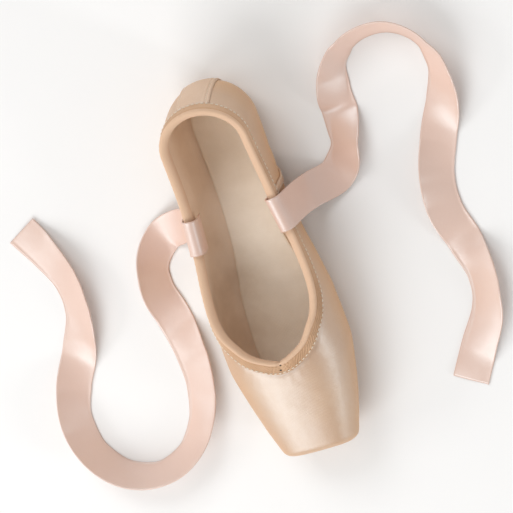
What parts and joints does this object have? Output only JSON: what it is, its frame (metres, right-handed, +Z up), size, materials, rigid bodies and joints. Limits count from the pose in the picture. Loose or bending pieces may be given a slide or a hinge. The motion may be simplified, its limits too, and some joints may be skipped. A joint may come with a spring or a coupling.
{
  "type": "pointe shoe",
  "caption": "Ballet pointe shoe: satin upper over a stiff box with a flat platform, short leather sole, bound collar and flat satin ties lying loose.",
  "frame": {"origin": "on the floor under the middle of the shoe's length and width, without the ties", "axes": "+X towards the platform at the toe, +Y to the wearer's left, +Z up"},
  "size_m": [0.2409, 0.3025, 0.0589],
  "materials": {
    "satin": "peach satin with a soft sheen",
    "sole_leather": "tan suede leather",
    "insole_cloth": "plain cotton over board",
    "binding_cloth": "peach cotton tape, matt",
    "ribbon_satin": "pink satin ribbon"
  },
  "bodies": {
    "root": {"upper": "satin", "outsole": "sole_leather", "insole": "insole_cloth", "collar_binding": "binding_cloth", "seam_tape_left": "satin", "seam_tape_right": "satin", "heel_strip": "satin", "ribbon_left": "ribbon_satin", "ribbon_right": "ribbon_satin"}
  },
  "joints": []
}
